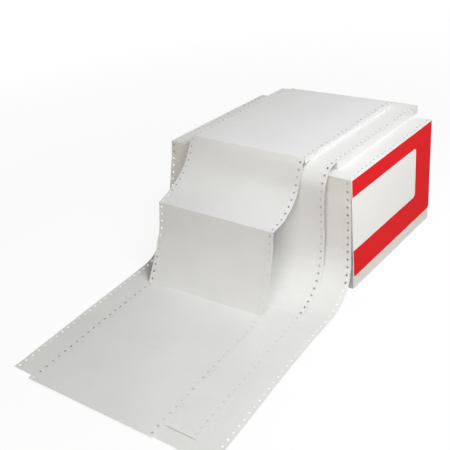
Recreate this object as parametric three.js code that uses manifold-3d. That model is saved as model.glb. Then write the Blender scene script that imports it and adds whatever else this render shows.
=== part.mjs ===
// A pile of fanfold continuous form paper: three packs of different widths, lying on
// one another, each with the two top forms pulled over its front edge and down on to
// the table, and a printed card on the side of the widest pack.
//
// Millimetres, +Z up. The origin is the middle of the widest pack's underside; the
// loose forms run towards -Y. Every pack and its loose forms are one web of paper,
// folded to and fro at its cross perforations.

import * as THREE from "three";
import { mergeVertices } from "three/addons/utils/BufferGeometryUtils.js";
import Module from "manifold-3d";

const wasm = await Module();
wasm.setup();

// The form: 11 inches between folds, half-inch tractor holes along both edges.
const FORM = 279.4;
const HOLE_PITCH = 12.7;
const HOLE_DIAMETER = 4;
const HOLE_EDGE = 6; // from the centre of a hole to the edge of the paper
const HOLE_SIDES = 6;
const LOOSE_FORMS = 2;

// A loose sheet, thicker than real paper so that it is a solid that can be handled.
const SHEET = 0.4;
const LAYER_CLEARANCE = 0.3; // between two loose sheets that lie on one another

// The folded packs, from the table up.
const WIDE_WIDTH = 377.8; // 14 7/8 in
const WIDE_HEIGHT = 198;
const MEDIUM_WIDTH = 279.4; // 11 in
const MEDIUM_HEIGHT = 15;
const MEDIUM_INSET = 36; // from the right side of the wide pack
const MEDIUM_SETBACK = 21; // from the front folds of the wide pack
const NARROW_WIDTH = 241.3; // 9 1/2 in
const NARROW_HEIGHT = 8.2;
const NARROW_INSET = 77.5;
const NARROW_SETBACK = -6;

// The folds show as ridges along the front and back of a pack.
const FOLD_PITCH = 8;
const FOLD_DEPTH = 0.6;
const FOLD_INSET = 0.8; // of the lower folds, behind the top sheet's fold

// The card on the right side of the wide pack.
const CARD_THICKNESS = 0.8;
const CARD_ABOVE_TABLE = 22;
const CARD_CORNER = 7;

const CHORD_ERROR = 0.25; // largest distance of a curved sheet from its facets

const FRONT = -FORM / 2; // the front folds of the wide pack
const RIGHT = WIDE_WIDTH / 2;
const HOLES_PER_FORM = Math.round(FORM / HOLE_PITCH);
const PITCH = FORM / HOLES_PER_FORM;

// `layer` counts the loose webs that lie under the pack's own one on the table.
const wide = {
  width: WIDE_WIDTH, height: WIDE_HEIGHT, base: 0, x: 0, front: FRONT, layer: 0,
};
const medium = {
  width: MEDIUM_WIDTH, height: MEDIUM_HEIGHT, base: WIDE_HEIGHT,
  x: RIGHT - MEDIUM_INSET - MEDIUM_WIDTH / 2, front: FRONT + MEDIUM_SETBACK, layer: 1,
};
const narrow = {
  width: NARROW_WIDTH, height: NARROW_HEIGHT, base: WIDE_HEIGHT + MEDIUM_HEIGHT,
  x: RIGHT - NARROW_INSET - NARROW_WIDTH / 2, front: FRONT + NARROW_SETBACK, layer: 2,
};

// The way that the two edges of each loose web take, fold by fold. A point is the
// distance forward of the wide pack's front folds and the height as a share of the
// drop from the top of the pack. The web drifts sideways by `skew` for each
// millimetre that it comes forward of `skewFrom`.
const wideRoute = {
  skew: 0.105, skewFrom: 0,
  forms: [LOOSE_FORMS],
  right: [[
    [0, 1], [5, 0.875], [9.6, 0.749], [12.2, 0.56], [15.8, 0.379], [22, 0.258],
    [33.5, 0.151], [53, 0.07], [76, 0.02], [102, 0], [200, 0], [300, 0], [407, 0],
  ]],
  left: [[
    [0, 1], [5.6, 0.869], [13.8, 0.742], [22, 0.616], [36, 0.464], [58, 0.277],
    [80, 0.113], [101, 0.03], [126, 0], [230, 0], [330, 0], [436, 0],
  ]],
};
const mediumRoute = {
  skew: 0.095, skewFrom: 20,
  forms: [LOOSE_FORMS],
  right: [[
    [-21, 1], [-12, 0.996], [-1, 0.976], [8, 0.934], [14.5, 0.88], [19.5, 0.74],
    [22, 0.56], [26, 0.36], [32, 0.246], [44, 0.145], [62, 0.065], [86, 0.026],
    [116, 0], [200, 0], [300, 0], [387, 0],
  ]],
  left: [[
    [-21, 1], [-12, 0.996], [-1, 0.976], [9, 0.93], [16, 0.875], [24, 0.74],
    [33, 0.58], [47, 0.42], [68, 0.24], [90, 0.1], [110, 0.035], [134, 0], [220, 0],
    [320, 0], [413, 0],
  ]],
};
const narrowRoute = {
  skew: 0.1, skewFrom: 140,
  forms: [0.5, 0.5, 0.5, 0.5],
  right: [
    [[6, 1], [11.5, 0.968], [20, 0.885], [30, 0.785], [48, 0.697], [70, 0.638], [99, 0.608]],
    [[99, 0.608], [102, 0.53], [108, 0.4], [117, 0.272], [139, 0]],
    [[139, 0], [278, 0.014]],
    [[278, 0.014], [417, 0]],
  ],
  left: [
    [[6, 1], [13, 0.93], [27, 0.82], [45, 0.736], [66, 0.674], [86, 0.632], [106, 0.597]],
    [[106, 0.597], [110, 0.5], [116, 0.38], [130, 0.24], [147, 0.11], [163, 0]],
    [[163, 0], [302, 0.02]],
    [[302, 0.02], [441, 0]],
  ],
};

function toGeometry(solid) {
  const mesh = solid.getMesh();
  const geometry = new THREE.BufferGeometry();
  geometry.setAttribute("position", new THREE.BufferAttribute(mesh.vertProperties, 3));
  geometry.setIndex(new THREE.BufferAttribute(mesh.triVerts, 1));
  geometry.computeVertexNormals();
  return geometry;
}

function toSolid(geometry) {
  const bare = geometry.clone();
  bare.deleteAttribute("normal");
  bare.deleteAttribute("uv");
  const merged = mergeVertices(bare, 1e-4);
  return new wasm.Manifold(new wasm.Mesh({
    numProp: 3,
    vertProperties: new Float32Array(merged.attributes.position.array),
    triVerts: new Uint32Array(merged.index.array),
  }));
}

// The folded part of a pack: ridges of folds at the front and back, straight sides.
function packBlock(pack) {
  const ridges = Math.max(2, Math.round(pack.height / FOLD_PITCH));
  const step = pack.height / ridges;
  const faceFront = pack.front + FOLD_INSET;
  const faceBack = pack.front + FORM;
  const outline = new THREE.Shape();
  outline.moveTo(faceFront + FOLD_DEPTH, 0);
  for (let i = 0; i < ridges; i += 1) {
    outline.lineTo(faceBack - FOLD_DEPTH, i * step);
    outline.lineTo(faceBack, (i + 0.5) * step);
  }
  outline.lineTo(faceBack - FOLD_DEPTH, pack.height);
  outline.lineTo(faceFront + FOLD_DEPTH, pack.height);
  for (let i = ridges - 1; i >= 0; i -= 1) {
    outline.lineTo(faceFront, (i + 0.5) * step);
    outline.lineTo(faceFront + FOLD_DEPTH, i * step);
  }
  const block = new THREE.ExtrudeGeometry(outline, { depth: pack.width, bevelEnabled: false });
  // The outline is drawn in Y and Z and pulled along X.
  block.applyMatrix4(new THREE.Matrix4().makeBasis(
    new THREE.Vector3(0, 1, 0), new THREE.Vector3(0, 0, 1), new THREE.Vector3(1, 0, 0),
  ));
  block.translate(pack.x - pack.width / 2, 0, pack.base);
  return toSolid(block);
}

// The tractor holes line up through the whole folded pack.
function packHoles(pack) {
  let holes = null;
  for (const side of [-1, 1]) {
    for (let i = 0; i < HOLES_PER_FORM; i += 1) {
      const pin = new THREE.CylinderGeometry(
        HOLE_DIAMETER / 2, HOLE_DIAMETER / 2, pack.height + 2, HOLE_SIDES,
      );
      pin.rotateX(Math.PI / 2);
      pin.translate(
        pack.x + side * (pack.width / 2 - HOLE_EDGE),
        pack.front + (i + 0.5) * PITCH,
        pack.base + pack.height / 2,
      );
      const solid = toSolid(pin);
      holes = holes ? holes.add(solid) : solid;
    }
  }
  return holes;
}

// One edge of a loose web as a function of the distance along the paper from the
// pack's front fold. Each fold starts a new smooth piece.
function webEdge(pack, route, side) {
  const top = pack.base + pack.height - SHEET / 2;
  const low = SHEET / 2 + pack.layer * (SHEET + LAYER_CLEARANCE);
  const edgeX = pack.x + side * pack.width / 2;
  let from = 0;
  const pieces = (side > 0 ? route.right : route.left).map((points, i) => {
    const curve = new THREE.CatmullRomCurve3(points.map(([forward, share]) => (
      new THREE.Vector3(
        edgeX + route.skew * Math.max(0, forward - route.skewFrom),
        FRONT - forward,
        low + share * (top - low),
      ))), false, "centripetal");
    curve.arcLengthDivisions = 400;
    const piece = { curve, from, length: route.forms[i] * FORM };
    from += piece.length;
    return piece;
  });
  return (distance) => {
    if (distance < 0) return new THREE.Vector3(edgeX, pack.front - distance, top);
    const piece = pieces.findLast((p) => distance >= p.from - 1e-6);
    const point = piece.curve.getPointAt(Math.min(1, (distance - piece.from) / piece.length));
    point.z = Math.max(low, point.z); // the curve dips a little where the run begins
    return point;
  };
}

// The places where a web is divided into flat facets: every fold, and between two
// rows of holes wherever the paper has curved away from the last facet.
function webStations(route, rightEdge, leftEdge) {
  const halfGap = HOLE_DIAMETER / 2 + 0.6;
  const folds = route.forms.reduce((list, f) => [...list, list.at(-1) + f * FORM], [0]);
  const total = folds.at(-1);
  const candidates = [...folds];
  for (let row = 0; row * PITCH < total - 1; row += 1) {
    const middle = (row + 0.5) * PITCH;
    candidates.push(middle - halfGap, middle + halfGap);
  }
  candidates.sort((a, b) => a - b);

  const strays = (edge, a, b) => {
    const chord = new THREE.Line3(edge(a), edge(b));
    const nearest = new THREE.Vector3();
    return [0.25, 0.5, 0.75].some((t) => {
      const point = edge(a + t * (b - a));
      chord.closestPointToPoint(point, true, nearest);
      return point.distanceTo(nearest) > CHORD_ERROR;
    });
  };
  const stations = [0];
  for (let i = 1; i < candidates.length; i += 1) {
    const last = stations.at(-1);
    const here = candidates[i];
    const next = candidates[i + 1];
    const atFold = folds.some((f) => Math.abs(f - here) < 1e-6);
    const bends = next !== undefined
      && (strays(rightEdge, last, next) || strays(leftEdge, last, next));
    if ((atFold || bends) && here - last > 1e-6) stations.push(here);
  }
  return stations;
}

// A loose web as one closed sheet of even thickness, with its rows of holes.
function looseWeb(pack, route) {
  const rightEdge = webEdge(pack, route, 1);
  const leftEdge = webEdge(pack, route, -1);
  const stations = [-HOLE_EDGE / 2, ...webStations(route, rightEdge, leftEdge)];
  const lines = stations.map((s) => ({ s, left: leftEdge(s), right: rightEdge(s) }));

  const facetNormals = lines.slice(1).map((line, i) => {
    const across = line.right.clone().add(lines[i].right).sub(line.left).sub(lines[i].left);
    const along = line.right.clone().add(line.left).sub(lines[i].right).sub(lines[i].left);
    return along.cross(across).normalize();
  });
  const faces = lines.map((line, i) => {
    const before = facetNormals[Math.max(0, i - 1)];
    const after = facetNormals[Math.min(facetNormals.length - 1, i)];
    const normal = before.clone().add(after).normalize();
    return normal.multiplyScalar(SHEET / 2 / normal.dot(after));
  });

  const positions = [];
  const indices = [];
  const put = (point) => positions.push(point.x, point.y, point.z) / 3 - 1;
  const corners = lines.map((line, i) => [1, -1].map((face) => [line.left, line.right]
    .map((edge) => put(edge.clone().addScaledVector(faces[i], face)))));
  const at = (index) => new THREE.Vector3().fromArray(positions, index * 3);
  const quad = (a, b, c, d) => indices.push(a, b, c, a, c, d);

  for (let i = 0; i + 1 < lines.length; i += 1) {
    const from = lines[i].s;
    const span = lines[i + 1].s - from;
    const outline = [[0, 0], [1, 0], [1, 1], [0, 1]]
      .map(([u, v]) => new THREE.Vector2(u * pack.width, v * span));
    const rings = [];
    const firstHole = Math.max(0, Math.ceil(from / PITCH - 0.5));
    for (let hole = firstHole; (hole + 0.5) * PITCH < from + span; hole += 1) {
      for (const u of [HOLE_EDGE, pack.width - HOLE_EDGE]) {
        const ring = [];
        for (let k = 0; k < HOLE_SIDES; k += 1) {
          const turn = -(k / HOLE_SIDES) * 2 * Math.PI;
          ring.push(new THREE.Vector2(
            u + Math.cos(turn) * HOLE_DIAMETER / 2,
            (hole + 0.5) * PITCH - from + Math.sin(turn) * HOLE_DIAMETER / 2,
          ));
        }
        rings.push(ring);
      }
    }
    const triangles = THREE.ShapeUtils.triangulateShape(outline, rings);
    const faceIndex = [0, 1].map((face) => {
      const [a, b] = corners[i][face];
      const [d, c] = corners[i + 1][face];
      const places = [a, b, c, d];
      for (const point of rings.flat()) {
        const u = point.x / pack.width;
        const v = point.y / span;
        const near = at(a).lerp(at(b), u);
        const far = at(d).lerp(at(c), u);
        places.push(put(near.lerp(far, v)));
      }
      return places;
    });
    const flat = [...outline, ...rings.flat()];
    for (const [a, p, q] of triangles) {
      const turnsLeft = THREE.ShapeUtils.area([flat[a], flat[p], flat[q]]) > 0;
      const [b, c] = turnsLeft ? [p, q] : [q, p];
      indices.push(faceIndex[0][a], faceIndex[0][c], faceIndex[0][b]);
      indices.push(faceIndex[1][a], faceIndex[1][b], faceIndex[1][c]);
    }
    rings.forEach((ring, r) => ring.forEach((_, k) => {
      const here = 4 + r * HOLE_SIDES + k;
      const next = 4 + r * HOLE_SIDES + (k + 1) % HOLE_SIDES;
      quad(faceIndex[0][here], faceIndex[0][next], faceIndex[1][next], faceIndex[1][here]);
    }));
    const [top, bottom] = corners[i];
    const [nextTop, nextBottom] = corners[i + 1];
    quad(top[0], bottom[0], nextBottom[0], nextTop[0]);
    quad(top[1], nextTop[1], nextBottom[1], bottom[1]);
  }
  const [startTop, startBottom] = corners[0];
  const [endTop, endBottom] = corners.at(-1);
  quad(startTop[0], startTop[1], startBottom[1], startBottom[0]);
  quad(endTop[1], endTop[0], endBottom[0], endBottom[1]);

  const sheet = new THREE.BufferGeometry();
  sheet.setAttribute("position", new THREE.Float32BufferAttribute(positions, 3));
  sheet.setIndex(indices);
  return toSolid(sheet);
}

// A folded pack and its loose forms, all one web.
function forms(name, pack, route, colour) {
  const solid = packBlock(pack).add(looseWeb(pack, route)).subtract(packHoles(pack));
  const paper = new THREE.MeshStandardMaterial({ color: colour, roughness: 0.85, metalness: 0 });
  const mesh = new THREE.Mesh(toGeometry(solid), paper);
  mesh.name = name;
  return mesh;
}

// The printed card on the side of the wide pack, with its lower corners rounded.
function sideCard() {
  const height = WIDE_HEIGHT - CARD_ABOVE_TABLE;
  const outline = new THREE.Shape();
  outline.moveTo(0, height);
  outline.lineTo(0, CARD_CORNER);
  outline.absarc(CARD_CORNER, CARD_CORNER, CARD_CORNER, Math.PI, 1.5 * Math.PI, false);
  outline.lineTo(FORM - CARD_CORNER, 0);
  outline.absarc(FORM - CARD_CORNER, CARD_CORNER, CARD_CORNER, 1.5 * Math.PI, 0, false);
  outline.lineTo(FORM, height);
  outline.closePath();
  const card = new THREE.ExtrudeGeometry(outline, {
    depth: CARD_THICKNESS, bevelEnabled: false, curveSegments: 5,
  });
  card.applyMatrix4(new THREE.Matrix4().makeBasis(
    new THREE.Vector3(0, 1, 0), new THREE.Vector3(0, 0, 1), new THREE.Vector3(1, 0, 0),
  ));
  const print = new THREE.MeshStandardMaterial({ color: 0xe31e24, roughness: 0.45, metalness: 0 });
  const mesh = new THREE.Mesh(card, print);
  mesh.name = "side_card";
  mesh.position.set(RIGHT, FRONT, CARD_ABOVE_TABLE);
  return mesh;
}

const pile = new THREE.Group();
pile.add(forms("wide_forms", wide, wideRoute, 0xe4e3de));
pile.add(forms("medium_forms", medium, mediumRoute, 0xe4e3de));
pile.add(forms("narrow_forms", narrow, narrowRoute, 0xe0e1de));
pile.add(sideCard());

export default pile;
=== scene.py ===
"""Looks of a pile of fanfold continuous form paper.

Each web is one thin sheet with punched holes that lies on its folded pack, bends
over the front and runs out on the table. Sizes are in millimetres until a mesh is
made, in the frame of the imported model: X along the folds, the loose forms run
towards -Y, Z up from the table.
"""
import bisect
import math
import random
from collections import namedtuple

import bpy
from mathutils import Matrix, Vector, noise
from mathutils.geometry import tessellate_polygon


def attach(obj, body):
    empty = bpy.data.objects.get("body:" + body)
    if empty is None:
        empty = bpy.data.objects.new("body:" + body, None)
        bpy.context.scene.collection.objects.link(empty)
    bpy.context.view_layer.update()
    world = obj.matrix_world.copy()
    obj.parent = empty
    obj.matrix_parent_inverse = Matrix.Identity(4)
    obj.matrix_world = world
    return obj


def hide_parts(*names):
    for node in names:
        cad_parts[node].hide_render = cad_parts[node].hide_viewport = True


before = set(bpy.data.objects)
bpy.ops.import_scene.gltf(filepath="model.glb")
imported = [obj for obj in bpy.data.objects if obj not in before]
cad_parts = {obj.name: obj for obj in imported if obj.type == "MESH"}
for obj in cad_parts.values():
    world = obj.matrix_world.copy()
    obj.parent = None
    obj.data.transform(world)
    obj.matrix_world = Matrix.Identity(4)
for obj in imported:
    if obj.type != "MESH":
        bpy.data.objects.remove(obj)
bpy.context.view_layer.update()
scene = bpy.context.scene
MM = 0.001

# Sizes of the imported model.
FORM = 279.4
HOLES_PER_FORM = 22
PITCH = FORM / HOLES_PER_FORM
HOLE_EDGE = 6.0            # from the centre of a hole to the edge of the paper
LOOSE_FORMS = 2
SHEET = 0.4                # thickness of its sheets; their middle surface is kept
LAYER_CLEARANCE = 0.3      # between two of its sheets that lie on one another
WIDE_WIDTH = 377.8
WIDE_HEIGHT = 198.0
MEDIUM_WIDTH = 279.4
MEDIUM_HEIGHT = 15.0
MEDIUM_INSET = 36.0        # from the right side of the wide pack
MEDIUM_SETBACK = 21.0      # from the front folds of the wide pack
NARROW_WIDTH = 241.3
NARROW_HEIGHT = 8.2
NARROW_INSET = 77.5
NARROW_SETBACK = -6.0
CARD_THICKNESS = 0.8
CARD_ABOVE_TABLE = 22.0
FRONT = -FORM / 2          # the front folds of the wide pack
RIGHT = WIDE_WIDTH / 2     # its right side

# Sizes of the detail made here.
PAPER = 0.26               # thickness of the sheets
HOLE_RADIUS = 1.85
MARGIN = 2 * HOLE_EDGE     # the strip of cells that hold the holes
CELL_STEPS = 4             # mesh steps along each side of a hole's cell
TEAR_STRIP = 12.7          # from the paper's edge to the perforation beside the holes
PACK_LAYER = 1.3           # height of one visible layer of folded forms
TOP_SHEET_GAP = 0.06       # between a pack and the underside of its top sheet
LAYER_DRIFT = 0.3          # how far the layers' edges wander along a side
CUT_JITTER = 0.28          # how far a layer's cut edges may lie inside the pack's side
FOLD_JITTER = 0.12         # the same for its folds
FOLD_SET_BACK = 0.45       # of every other layer's folds

# `layer` counts the webs below, and `columns` are the mesh columns between the holes.
Pack = namedtuple("Pack", "name node slot width height base x front layer columns")
PACKS = [
    Pack("wide", "wide_forms", "wide_paper", WIDE_WIDTH, WIDE_HEIGHT, 0.0,
         0.0, FRONT, 0, 22),
    Pack("medium", "medium_forms", "medium_paper", MEDIUM_WIDTH, MEDIUM_HEIGHT, WIDE_HEIGHT,
         RIGHT - MEDIUM_INSET - MEDIUM_WIDTH / 2, FRONT + MEDIUM_SETBACK, 1, 17),
    Pack("narrow", "narrow_forms", "narrow_paper", NARROW_WIDTH, NARROW_HEIGHT,
         WIDE_HEIGHT + MEDIUM_HEIGHT,
         RIGHT - NARROW_INSET - NARROW_WIDTH / 2, FRONT + NARROW_SETBACK, 2, 15),
]

# Where the two edges of each loose web run: the distance forward of the wide pack's
# front folds, and the height as a share of the drop. Every crease that shows starts a
# new piece, and `forms` is the length of each piece. The web drifts to the right by
# `skew` for each mm beyond `skew_from`, and its left and right edges by `side_step` more
# on the drop.
Route = namedtuple("Route", "skew skew_from side_step forms right left")
ROUTES = {
    "wide": Route(
        0.105, 0.0, (1.0, 7.5), [LOOSE_FORMS],
        [[(0, 1), (3, 0.875), (6.2, 0.749), (8.8, 0.56), (12.4, 0.379), (19.2, 0.258),
          (32, 0.151), (53, 0.07), (76, 0.02), (102, 0), (200, 0), (300, 0), (407, 0)]],
        [[(0, 1), (5.6, 0.869), (13.8, 0.742), (22, 0.616), (36, 0.464), (58, 0.277),
          (80, 0.113), (101, 0.03), (126, 0), (230, 0), (330, 0), (436, 0)]]),
    "medium": Route(
        0.095, 20.0, (0.0, 0.0), [LOOSE_FORMS],
        [[(-21, 1), (-12, 0.996), (-1, 0.976), (8, 0.934), (14.5, 0.88), (19.5, 0.74),
          (22, 0.56), (26, 0.36), (32, 0.246), (44, 0.145), (62, 0.065), (86, 0.026),
          (116, 0), (200, 0), (300, 0), (387, 0)]],
        [[(-21, 1), (-12, 0.996), (-1, 0.976), (9, 0.93), (16, 0.875), (24, 0.74),
          (33, 0.58), (47, 0.42), (68, 0.24), (90, 0.1), (110, 0.035), (134, 0),
          (220, 0), (320, 0), (413, 0)]]),
    "narrow": Route(
        0.1, 140.0, (0.0, 0.0), [0.5, 0.5, 0.5, 0.5],
        [[(6, 1), (11.5, 0.968), (20, 0.885), (30, 0.785), (48, 0.697), (70, 0.638),
          (99, 0.608)],
         [(99, 0.608), (102, 0.53), (108, 0.4), (117, 0.272), (139, 0)],
         [(139, 0), (278, 0.003)],
         [(278, 0.003), (417, 0)]],
        [[(6, 1), (13, 0.93), (27, 0.82), (45, 0.736), (66, 0.674), (86, 0.632),
          (106, 0.597)],
         [(106, 0.597), (110, 0.5), (116, 0.38), (130, 0.24), (147, 0.11), (163, 0)],
         [(163, 0), (302, 0.004)],
         [(302, 0.004), (441, 0)]]),
}


Lamp = namedtuple("Lamp", "name place size watts colour")
LAMPS = [
    Lamp("key", (0.87, -0.22, 1.12), 0.8, 14.6, (0.95, 0.98, 1.02)),
    Lamp("top", (0.3, 0.3, 2.2), 1.2, 0.8, (0.93, 0.97, 1.0)),
    Lamp("front", (0.8, -2.1, 0.75), 1.2, 16.5, (1.0, 0.98, 0.94)),
    Lamp("back", (-0.3, 2.4, 1.0), 1.4, 22.0, (1.0, 0.985, 0.96)),
]
LAMP_TARGET = (0.0, -0.1, 0.1)
FILL_COLOUR = (1.0, 0.94, 0.85, 1.0)
FILL_STRENGTH = 0.13
WHITE = (1.0, 1.0, 1.0, 1.0)

FLOOR_HALF = 12.0                          # metres, as are the three below
FLOOR_LEVEL = -0.0003
FLOOR_FADE_FROM, FLOOR_FADE_TO = 0.6, 1.8  # over which the shadow fades out
FLOOR_SEEN = (0.96, 0.96, 0.96, 1.0)
FLOOR_BOUNCE = (0.6, 0.55, 0.47, 1.0)      # its colour to the light that the pile gets
FLOOR_GLOW = 0.9                           # share of plain white near the pile

PAPER_COLOUR = {"wide": (0.8, 0.795, 0.77), "medium": (0.81, 0.805, 0.785),
                "narrow": (0.8, 0.8, 0.785)}
EDGE_CONTRAST = {"wide": 1.0, "medium": 0.35, "narrow": 0.35}
CARD_WHITE = (0.89, 0.89, 0.885)
CARD_RED = (0.77, 0.013, 0.018)

# Perforations, in metres: half the width of a row, and half the step from cut to cut.
ROW_HALF_WIDTH = 0.0005
TEAR_HALF_STEP = 0.0011
FOLD_HALF_STEP = 0.0013


# Camera and light.

def add_camera():
    """The photograph's view: place, turn and lens of a fitted camera."""
    azimuth, elevation, roll = (math.radians(a) for a in (43.04, 27.94, 7.02))
    look = Vector((-math.sin(azimuth) * math.cos(elevation),
                   math.cos(azimuth) * math.cos(elevation), -math.sin(elevation)))
    level = Vector((math.cos(azimuth), math.sin(azimuth), 0.0))
    down = look.cross(level)
    right = level * math.cos(roll) + down * math.sin(roll)
    below = down * math.cos(roll) - level * math.sin(roll)
    data = bpy.data.cameras.new("camera")
    data.sensor_width = 36.0
    data.lens = 52.21
    data.shift_x = -0.0035
    data.shift_y = -0.0204
    camera = bpy.data.objects.new("camera", data)
    camera.matrix_world = Matrix.Translation((0.64936, -0.91421, 0.63112)) @ Matrix(
        (right, -below, -look)).transposed().to_4x4()
    scene.collection.objects.link(camera)
    scene.camera = camera


def add_lamp(lamp):
    data = bpy.data.lights.new(lamp.name, "AREA")
    data.shape = "DISK"
    data.size = lamp.size
    data.energy = lamp.watts
    data.color = lamp.colour
    light = bpy.data.objects.new(lamp.name, data)
    light.location = lamp.place
    aim = Vector(LAMP_TARGET) - Vector(lamp.place)
    light.rotation_euler = aim.to_track_quat("-Z", "Y").to_euler()
    scene.collection.objects.link(light)


def seen_directly(nodes, links):
    """1 for camera, glossy and transmission rays, so that they all meet white."""
    path = nodes.new("ShaderNodeLightPath")
    value = path.outputs["Is Camera Ray"]
    for ray in ("Is Glossy Ray", "Is Transmission Ray"):
        either = nodes.new("ShaderNodeMath")
        either.operation = "MAXIMUM"
        links.new(value, either.inputs[0])
        links.new(path.outputs[ray], either.inputs[1])
        value = either.outputs[0]
    return value


def add_world():
    """A soft warm fill that is itself seen as plain white."""
    world = bpy.data.worlds.new("studio")
    world.use_nodes = True
    nodes, links = world.node_tree.nodes, world.node_tree.links
    nodes.clear()
    soft = nodes.new("ShaderNodeBackground")
    soft.inputs["Color"].default_value = FILL_COLOUR
    soft.inputs["Strength"].default_value = FILL_STRENGTH
    white = nodes.new("ShaderNodeBackground")
    white.inputs["Color"].default_value = WHITE
    mix = nodes.new("ShaderNodeMixShader")
    output = nodes.new("ShaderNodeOutputWorld")
    links.new(seen_directly(nodes, links), mix.inputs[0])
    links.new(soft.outputs[0], mix.inputs[1])
    links.new(white.outputs[0], mix.inputs[2])
    links.new(mix.outputs[0], output.inputs["Surface"])
    scene.world = world


def add_floor():
    """A white floor that still takes the soft shadow of the pile."""
    mesh = bpy.data.meshes.new("floor")
    mesh.from_pydata([(x * FLOOR_HALF, y * FLOOR_HALF, FLOOR_LEVEL)
                      for x, y in ((-1, -1), (1, -1), (1, 1), (-1, 1))], [], [(0, 1, 2, 3)])
    floor = bpy.data.objects.new("floor", mesh)
    scene.collection.objects.link(floor)
    material = bpy.data.materials.new("floor_white")
    material.use_nodes = True
    nodes, links = material.node_tree.nodes, material.node_tree.links
    nodes.clear()
    seen = seen_directly(nodes, links)
    matt = nodes.new("ShaderNodeBsdfDiffuse")
    tint = nodes.new("ShaderNodeMix")
    tint.data_type = "RGBA"
    tint.inputs[6].default_value = FLOOR_BOUNCE
    tint.inputs[7].default_value = FLOOR_SEEN
    links.new(seen, tint.inputs["Factor"])
    links.new(tint.outputs[2], matt.inputs["Color"])
    glow = nodes.new("ShaderNodeEmission")
    glow.inputs["Color"].default_value = WHITE
    place = nodes.new("ShaderNodeTexCoord")
    away = nodes.new("ShaderNodeVectorMath")
    away.operation = "LENGTH"
    links.new(place.outputs["Object"], away.inputs[0])
    fade = nodes.new("ShaderNodeMapRange")
    for name, number in (("From Min", FLOOR_FADE_FROM), ("From Max", FLOOR_FADE_TO),
                         ("To Min", FLOOR_GLOW), ("To Max", 1.0)):
        fade.inputs[name].default_value = number
    links.new(away.outputs["Value"], fade.inputs["Value"])
    share = nodes.new("ShaderNodeMath")
    share.operation = "MULTIPLY"
    links.new(fade.outputs[0], share.inputs[1])
    mix = nodes.new("ShaderNodeMixShader")
    output = nodes.new("ShaderNodeOutputMaterial")
    links.new(seen, share.inputs[0])
    links.new(share.outputs[0], mix.inputs[0])
    links.new(matt.outputs[0], mix.inputs[1])
    links.new(glow.outputs[0], mix.inputs[2])
    links.new(mix.outputs[0], output.inputs["Surface"])
    mesh.materials.append(material)


# Materials.

class Shader:
    """A principled material with a few short ways to add procedural detail."""

    def __init__(self, name, roughness, specular):
        self.material = bpy.data.materials.new(name)
        self.material.use_nodes = True
        self.nodes = self.material.node_tree.nodes
        self.links = self.material.node_tree.links
        self.bsdf = self.nodes["Principled BSDF"]
        self.bsdf.inputs["Roughness"].default_value = roughness
        self.bsdf.inputs["Specular IOR Level"].default_value = specular
        self.place = self.nodes.new("ShaderNodeTexCoord").outputs["Object"]

    def put(self, value, socket):
        if isinstance(value, bpy.types.NodeSocket):
            self.links.new(value, socket)
        else:
            socket.default_value = value

    def noise(self, scale, detail=3.0, rough=0.55):
        """Noise with `scale` features per metre along each axis."""
        mapping = self.nodes.new("ShaderNodeMapping")
        mapping.inputs["Scale"].default_value = scale
        self.put(self.place, mapping.inputs["Vector"])
        texture = self.nodes.new("ShaderNodeTexNoise")
        texture.inputs["Scale"].default_value = 1.0
        texture.inputs["Detail"].default_value = detail
        texture.inputs["Roughness"].default_value = rough
        self.put(mapping.outputs[0], texture.inputs["Vector"])
        return texture.outputs["Fac"]

    def span(self, value, low, high, to_low=0.0, to_high=1.0):
        node = self.nodes.new("ShaderNodeMapRange")
        self.put(value, node.inputs["Value"])
        for name, number in (("From Min", low), ("From Max", high),
                             ("To Min", to_low), ("To Max", to_high)):
            node.inputs[name].default_value = number
        return node.outputs[0]

    def math(self, operation, first, second):
        node = self.nodes.new("ShaderNodeMath")
        node.operation = operation
        self.put(first, node.inputs[0])
        self.put(second, node.inputs[1])
        return node.outputs[0]

    def mix(self, share, first, second):
        node = self.nodes.new("ShaderNodeMix")
        node.data_type = "RGBA"
        self.put(share, node.inputs["Factor"])
        self.put(first, node.inputs[6])
        self.put(second, node.inputs[7])
        return node.outputs[2]

    def bump(self, height, depth, under=None):
        """`depth` in metres for a height that goes from 0 to 1."""
        node = self.nodes.new("ShaderNodeBump")
        node.inputs["Strength"].default_value = 1.0
        node.inputs["Distance"].default_value = depth
        self.put(height, node.inputs["Height"])
        if under is not None:
            self.put(under, node.inputs["Normal"])
        return node.outputs[0]


def shade(colour, factor):
    """The colour, lighter or darker by a factor, with its alpha of 1."""
    return tuple(c * factor for c in colour) + (1.0,)


def near_line(shader, value, line):
    """1 where the value is that of the line, falling to 0 at the sides of the row."""
    away = shader.math("ABSOLUTE", shader.math("SUBTRACT", value, line), 0.0)
    return shader.span(away, 0.0, ROW_HALF_WIDTH, 1.0, 0.0)


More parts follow.
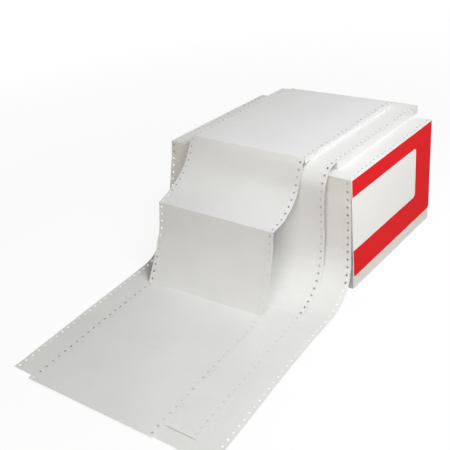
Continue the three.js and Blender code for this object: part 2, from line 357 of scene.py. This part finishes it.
def sheet_material(name, colour, width, fold_step):
    """Uncoated paper: faint cloudiness, fibres, and the fine perforations that run
    beside the holes and along every fold, which are fold_step apart."""
    shader = Shader(name, 0.88, 0.25)
    cloud = shader.noise((9.0, 9.0, 9.0), 4.0)
    fibre = shader.noise((620.0, 620.0, 620.0), 5.0, 0.7)
    paper = shader.mix(shader.span(cloud, 0.32, 0.68), shade(colour, 0.965),
                       shade(colour, 1.02))
    paper = shader.mix(shader.span(fibre, 0.35, 0.75, 0.0, 0.16), paper, shade(colour, 0.8))

    uv = shader.nodes.new("ShaderNodeUVMap")
    uv.uv_map = "form"
    split = shader.nodes.new("ShaderNodeSeparateXYZ")
    shader.put(uv.outputs[0], split.inputs[0])
    across, along = split.outputs[0], split.outputs[1]
    strips = shader.math("MAXIMUM", near_line(shader, across, TEAR_STRIP * MM),
                         near_line(shader, across, (width - TEAR_STRIP) * MM))
    dashes = shader.math("PINGPONG", along, TEAR_HALF_STEP)
    strips = shader.math("MULTIPLY", strips, shader.span(dashes, 0.0003, 0.0006))
    step = fold_step * MM
    to_fold = shader.math("PINGPONG", along, step)
    folds = shader.math("MAXIMUM", near_line(shader, to_fold, 0.0),
                        near_line(shader, to_fold, step))
    cuts = shader.math("PINGPONG", across, FOLD_HALF_STEP)
    folds = shader.math("MULTIPLY", folds, shader.span(cuts, 0.0004, 0.0008))
    rows = shader.math("MAXIMUM", strips, folds)
    paper = shader.mix(shader.math("MULTIPLY", rows, 0.3), paper, shade(colour, 0.5))
    shader.put(paper, shader.bsdf.inputs["Base Color"])

    normal = shader.bump(shader.noise((55.0, 55.0, 55.0), 3.0), 0.0004)
    normal = shader.bump(fibre, 0.00006, normal)
    shader.put(normal, shader.bsdf.inputs["Normal"])
    return shader.material


def page_edge_material(name, colour, contrast):
    """The cut or folded edges of many sheets: fine level lines of uneven tone."""
    dark, light = 1 - 0.16 * contrast, 1 + 0.09 * contrast
    shader = Shader(name, 0.92, 0.15)
    fine = shader.noise((14.0, 14.0, 2600.0), 4.0, 0.75)
    groups = shader.noise((5.0, 5.0, 420.0), 3.0)
    flecks = shader.noise((120.0, 120.0, 900.0), 2.0)
    tone = shader.mix(shader.span(fine, 0.3, 0.66), shade(colour, dark), shade(colour, light))
    tone = shader.mix(shader.span(groups, 0.5, 0.66, 0.0, 0.55 * contrast), tone,
                      shade(colour, 0.78))
    tone = shader.mix(shader.span(flecks, 0.6, 0.8, 0.0, 0.4), tone, shade(colour, 1.1))
    shader.put(tone, shader.bsdf.inputs["Base Color"])
    normal = shader.bump(groups, 0.0006 * contrast)
    normal = shader.bump(fine, 0.00025 * contrast, normal)
    shader.put(normal, shader.bsdf.inputs["Normal"])
    return shader.material


def print_material(name, colour, roughness, specular):
    """Printed card: a smooth ink film with a faint grain."""
    shader = Shader(name, roughness, specular)
    grain = shader.noise((900.0, 900.0, 900.0), 3.0)
    cloud = shader.noise((14.0, 14.0, 14.0), 3.0)
    tone = shader.mix(shader.span(grain, 0.35, 0.7), shade(colour, 0.94), shade(colour, 1.03))
    tone = shader.mix(shader.span(cloud, 0.35, 0.7, 0.0, 0.3), tone, shade(colour, 0.95))
    shader.put(tone, shader.bsdf.inputs["Base Color"])
    shader.put(shader.bump(shader.noise((30.0, 30.0, 30.0), 3.0), 0.0003),
               shader.bsdf.inputs["Normal"])
    return shader.material


# The shape of a web.

class EdgeCurve:
    """A centripetal Catmull-Rom curve through `points`, read by its arc length."""

    SAMPLES = 24

    def __init__(self, points):
        padded = [2 * points[0] - points[1], *points, 2 * points[-1] - points[-2]]
        self.places = [points[0]]
        for i in range(1, len(padded) - 2):
            self.places += self._stretch(*padded[i - 1:i + 3])
        self.lengths = [0.0]
        for a, b in zip(self.places, self.places[1:]):
            self.lengths.append(self.lengths[-1] + (b - a).length)

    def _stretch(self, p0, p1, p2, p3):
        t0, t1, t2 = (math.sqrt((b - a).length) for a, b in ((p0, p1), (p1, p2), (p2, p3)))
        out = t1 * ((p1 - p0) / t0 - (p2 - p0) / (t0 + t1) + (p2 - p1) / t1)
        into = t1 * ((p2 - p1) / t1 - (p3 - p1) / (t1 + t2) + (p3 - p2) / t2)
        stretch = []
        for k in range(1, self.SAMPLES + 1):
            t = k / self.SAMPLES
            stretch.append(p1 * (2 * t**3 - 3 * t**2 + 1) + out * (t**3 - 2 * t**2 + t)
                           + p2 * (3 * t**2 - 2 * t**3) + into * (t**3 - t**2))
        return stretch

    def at(self, share):
        target = min(1.0, max(0.0, share)) * self.lengths[-1]
        i = min(len(self.places) - 2, bisect.bisect_right(self.lengths, target) - 1)
        step = self.lengths[i + 1] - self.lengths[i]
        return self.places[i].lerp(self.places[i + 1], (target - self.lengths[i]) / step)


def web_edge(pack, side):
    """One edge of a web, by its distance along the paper from the pack's front fold."""
    route = ROUTES[pack.name]
    top = pack.base + pack.height - SHEET / 2
    low = SHEET / 2 + pack.layer * (SHEET + LAYER_CLEARANCE)
    edge_x = pack.x + side * pack.width / 2

    def sideways(forward):
        # 0 at the pack, 1 where the web hangs down, 0 again where it lies on the table.
        drop = (0.45 * smooth_step(forward, 0.0, 8.0) + 0.55 * smooth_step(forward, 9.0, 26.0)
                - smooth_step(forward, 45.0, 150.0))
        return (route.skew * max(0.0, forward - route.skew_from)
                + route.side_step[side > 0] * drop)

    curves = [EdgeCurve([Vector((edge_x + sideways(forward), FRONT - forward,
                                 low + share * (top - low)))
                         for forward, share in points])
              for points in (route.right if side > 0 else route.left)]
    starts = [0.0]
    for forms in route.forms:
        starts.append(starts[-1] + forms * FORM)

    def at(distance):
        if distance < 0:
            return Vector((edge_x, pack.front - distance, top))
        i = min(len(curves) - 1, bisect.bisect_right(starts, distance + 1e-6) - 1)
        point = curves[i].at((distance - starts[i]) / (starts[i + 1] - starts[i]))
        point.z = max(low, point.z)
        return point
    return at


def smooth_step(value, low, high):
    t = min(1.0, max(0.0, (value - low) / (high - low)))
    return t * t * (3 - 2 * t)


class Web:
    """The middle surface of a web: across in mm from its left edge, along in mm from
    the pack's front fold, with the slight unevenness that loose paper has."""

    WAVE = 1.1          # mm, largest lift of a loose sheet by its broad waves
    RIPPLE = 0.22       # mm, the same by its small ones
    FOLD_RIDGE = 0.35   # mm, of an opened fold that lies on the table
    AIR = 0.1           # mm, of air under each web that lies on another

    def __init__(self, pack):
        self.pack = pack
        self.left, self.right = web_edge(pack, -1), web_edge(pack, 1)

    def flat_place(self, across, along):
        return self.left(along).lerp(self.right(along), across / self.pack.width)

    def normal(self, across, along):
        reach = 0.5
        forward = (self.flat_place(across, along + reach)
                   - self.flat_place(across, along - reach))
        sideways = self.flat_place(self.pack.width, along) - self.flat_place(0.0, along)
        return forward.cross(sideways).normalized()

    def place(self, across, along):
        point = self.flat_place(across, along)
        up = self.normal(across, along)
        loose = smooth_step(along, 4.0, 60.0)
        broad = 0.5 + 0.5 * noise.noise(point / 95.0)
        small = 0.5 + 0.5 * noise.noise(point / 31.0 + Vector((7.0, 3.0, 1.0)))
        lift = loose * (self.WAVE * broad + self.RIPPLE * small)
        on_table = smooth_step(-point.z, -14.0, -4.0)
        nearest_fold = abs(along - FORM * round(along / FORM))
        lift += loose * on_table * self.FOLD_RIDGE * math.exp(-nearest_fold / 3.0)
        lift += loose * on_table * self.AIR * self.pack.layer
        return point + up * lift, up


def holed_grid(width, start, cells, columns):
    """A flat grid with a hole in each margin cell. Gives its points (across, along),
    its faces, the rings of its holes and its border, all anticlockwise."""
    points, index = [], {}

    def put(across, along):
        key = (round(across, 3), round(along, 3))
        if key not in index:
            index[key] = len(points)
            points.append((across, along))
        return index[key]

    faces, rings = [], []
    inner = [MARGIN + (width - 2 * MARGIN) * c / columns for c in range(columns + 1)]
    steps = range(CELL_STEPS)
    for cell in range(cells):
        base = start + cell * PITCH
        rows = [base + PITCH * k / CELL_STEPS for k in range(CELL_STEPS + 1)]
        for from_edge in (0.0, width - MARGIN):
            cols = [from_edge + MARGIN * k / CELL_STEPS for k in range(CELL_STEPS + 1)]
            around = ([(cols[k], rows[0]) for k in steps]
                      + [(cols[-1], rows[k]) for k in steps]
                      + [(cols[-1 - k], rows[-1]) for k in steps]
                      + [(cols[0], rows[-1 - k]) for k in steps])
            centre = (from_edge + HOLE_EDGE, base + PITCH / 2)
            ring = []
            for across, along in around:
                turn = math.atan2(along - centre[1], across - centre[0])
                ring.append(put(centre[0] + HOLE_RADIUS * math.cos(turn),
                                centre[1] + HOLE_RADIUS * math.sin(turn)))
            outer = [put(*place) for place in around]
            count = len(outer)
            for k in range(count):
                n = (k + 1) % count
                faces.append((outer[k], outer[n], ring[n], ring[k]))
            rings.append(ring)
        for k in steps:
            for a, b in zip(inner, inner[1:]):
                faces.append((put(a, rows[k]), put(b, rows[k]),
                              put(b, rows[k + 1]), put(a, rows[k + 1])))

    end = start + cells * PITCH
    across_line = ([MARGIN * k / CELL_STEPS for k in steps] + inner[:-1]
                   + [width - MARGIN + MARGIN * k / CELL_STEPS for k in range(CELL_STEPS + 1)])
    along_line = [start + PITCH * k / CELL_STEPS for k in range(cells * CELL_STEPS + 1)]
    border = ([put(a, start) for a in across_line[:-1]]
              + [put(width, s) for s in along_line[:-1]]
              + [put(a, end) for a in across_line[:0:-1]]
              + [put(0.0, s) for s in along_line[:0:-1]])
    return points, faces, rings, border


def make_piece(name, vertices, faces, materials, face_material, sharp_angle, uvs=None):
    """A piece of the pile, smooth but for edges that turn by more than sharp_angle."""
    mesh = bpy.data.meshes.new(name)
    mesh.from_pydata([tuple(v * MM for v in vertex) for vertex in vertices], [], faces)
    for material in materials:
        mesh.materials.append(material)
    mesh.polygons.foreach_set("material_index", face_material)
    mesh.polygons.foreach_set("use_smooth", [True] * len(faces))
    if uvs is not None:
        layer = mesh.uv_layers.new(name="form")
        for loop in mesh.loops:
            across, along = uvs[loop.vertex_index]
            layer.data[loop.index].uv = (across * MM, along * MM)
    mesh.validate()
    mesh.update()
    mesh.set_sharp_from_angle(angle=math.radians(sharp_angle))
    piece = bpy.data.objects.new(name, mesh)
    scene.collection.objects.link(piece)
    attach(piece, "root")
    return piece


def rim(loop, offset):
    """Quads that join a loop to the same loop of the face that is `offset` points on."""
    return [(loop[k], loop[k] + offset, loop[(k + 1) % len(loop)] + offset,
             loop[(k + 1) % len(loop)]) for k in range(len(loop))]


def add_web(pack, paper):
    """The top sheet of the pack and its loose forms, in one piece."""
    web = Web(pack)
    cells = HOLES_PER_FORM * (LOOSE_FORMS + 1)
    # Along runs forward, so across has to run from right to left to face up.
    points, faces, rings, border = holed_grid(pack.width, -FORM, cells, pack.columns)
    upper, lower = [], []
    for across, along in points:
        place, up = web.place(pack.width - across, along)
        upper.append(place + up * (PAPER / 2))
        lower.append(place - up * (PAPER / 2))
    offset = len(points)
    faces = faces + [tuple(i + offset for i in reversed(face)) for face in faces]
    faces += rim(border, offset)
    for ring in rings:
        faces += rim(ring[::-1], offset)
    piece = make_piece(pack.name + "_web", upper + lower, faces, [paper], [0] * len(faces),
                       sharp_angle=24.0, uvs=[*points, *points])
    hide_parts(pack.node)


def add_pack(pack, paper, edges):
    """The folded forms below the top sheet: thin layers, each a little out of line."""
    points, faces, rings, border = holed_grid(pack.width, 0.0, HOLES_PER_FORM, pack.columns)
    top = pack.base + pack.height - SHEET / 2 - PAPER / 2 - TOP_SHEET_GAP
    layers = max(3, round(pack.height / PACK_LAYER))
    rng = random.Random(f"{pack.name} folds")

    def plan(across, along):
        return pack.x + pack.width / 2 - across, pack.front + FORM - along

    def inward(value, size):
        """The sign of the way in from the edge at 0 or at size, or 0 off the edges."""
        return (value > size - 0.001) - (value < 0.001)

    def set_back(index, height, jitter, fold):
        across, along = points[index]
        x, y = plan(across, along)
        wander = noise.noise(Vector((x / 70.0, y / 70.0, height / 9.0)))
        drift = LAYER_DRIFT * (0.5 + 0.5 * wander)
        return (x + inward(across, pack.width) * (jitter + drift),
                y + inward(along, FORM) * (fold + drift), height)

    vertices = [(*plan(*point), top) for point in points]
    vertices += [(*plan(*point), pack.base) for point in points]
    offset = len(points)
    cap_faces = faces + [tuple(i + offset for i in reversed(face)) for face in faces]
    for ring in rings:
        cap_faces += rim(ring[::-1], offset)

    loops = [border]
    for layer in range(1, layers):
        height = top - (top - pack.base) * layer / layers
        jitter = rng.uniform(0.0, CUT_JITTER)
        fold = rng.uniform(0.0, FOLD_JITTER) + (FOLD_SET_BACK if layer % 2 else 0.0)
        first = len(vertices)
        vertices += [set_back(i, height, jitter, fold) for i in border]
        loops.append(list(range(first, first + len(border))))
    loops.append([i + offset for i in border])
    side_faces = []
    for high, low in zip(loops, loops[1:]):
        count = len(high)
        side_faces += [(high[k], low[k], low[(k + 1) % count], high[(k + 1) % count])
                       for k in range(count)]
    faces = cap_faces + side_faces
    face_material = [0] * len(cap_faces) + [1] * len(side_faces)
    plain = [(0.5 * pack.width, 0.5 * FORM)] * len(vertices)
    piece = make_piece(pack.name + "_pack", vertices, faces, [paper, edges], face_material,
                       sharp_angle=50.0, uvs=plain)
    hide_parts(pack.node)


# The printed card.

def rounded(corners, steps=7):
    """An outline through (x, y, radius) corners."""
    outline = []
    for i, (x, y, radius) in enumerate(corners):
        here = Vector((x, y))
        if radius == 0:
            outline.append(here)
            continue
        before = (Vector(corners[i - 1][:2]) - here).normalized()
        after = (Vector(corners[(i + 1) % len(corners)][:2]) - here).normalized()
        centre = here + (before + after) * radius
        for k in range(steps + 1):
            turn = k / steps * math.pi / 2
            outline.append(centre - after * radius * math.cos(turn)
                           - before * radius * math.sin(turn))
    return outline


def add_card(white, red):
    """White card with a red printed field, and a bare white band across the field."""
    low, high = CARD_ABOVE_TABLE, WIDE_HEIGHT
    card = rounded([(0, low, 7), (FORM, low, 7), (FORM, high, 0), (0, high, 0)])
    border, thin = 1.7, 0.5
    band_low, band_high, band_back = 72.0, 167.0, 219.0
    field = rounded([
        (border, low + thin, 6), (FORM - thin, low + thin, 6),
        (FORM - thin, high - border, 0), (border, high - border, 0), (border, band_high, 0),
        (band_back, band_high, 8), (band_back, band_low, 8), (border, band_low, 0)])
    outlines = [card, field]
    places = [point for outline in outlines for point in outline]
    solid = [[Vector((p.x, p.y, 0.0)) for p in outline] for outline in outlines]
    around_field = tessellate_polygon(solid)
    on_field = [tuple(i + len(card) for i in face) for face in tessellate_polygon(solid[1:])]

    def facing_out(face):
        a, b, c = (places[i] for i in face)
        return face if (b - a).cross(c - a) > 0 else face[::-1]

    outer_x = RIGHT + CARD_THICKNESS
    vertices = [(outer_x, FRONT + p.x, p.y) for p in places]
    vertices += [(RIGHT, FRONT + p.x, p.y) for p in card]
    back = len(places)
    white_faces = [facing_out(tuple(f)) for f in around_field]
    red_faces = [facing_out(tuple(f)) for f in on_field]
    back_faces = [tuple(i + back for i in facing_out(tuple(f))[::-1])
                  for f in tessellate_polygon(solid[:1])]
    count = len(card)
    edge_faces = [(k, k + back, (k + 1) % count + back, (k + 1) % count) for k in range(count)]
    faces = white_faces + red_faces + back_faces + edge_faces
    material = [0] * len(white_faces) + [1] * len(red_faces)
    material += [0] * (len(back_faces) + len(edge_faces))
    piece = make_piece("card", vertices, faces, [white, red], material,
                       sharp_angle=30.0)
    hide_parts("side_card")


# Everything together.

add_camera()
scene.view_settings.view_transform = "Standard"
for lamp in LAMPS:
    add_lamp(lamp)
add_world()
add_floor()

for pack in PACKS:
    colour = PAPER_COLOUR[pack.name]
    # The narrow web is creased at every half form too.
    fold_step = FORM * min(1.0, ROUTES[pack.name].forms[0])
    sheet = sheet_material(pack.name + "_sheet", colour, pack.width, fold_step)
    add_web(pack, sheet)
    add_pack(pack, sheet, page_edge_material(pack.name + "_page_edges", colour,
                                             EDGE_CONTRAST[pack.name]))
add_card(print_material("card_white", CARD_WHITE, 0.6, 0.1),
         print_material("card_red", CARD_RED, 0.6, 0.06))

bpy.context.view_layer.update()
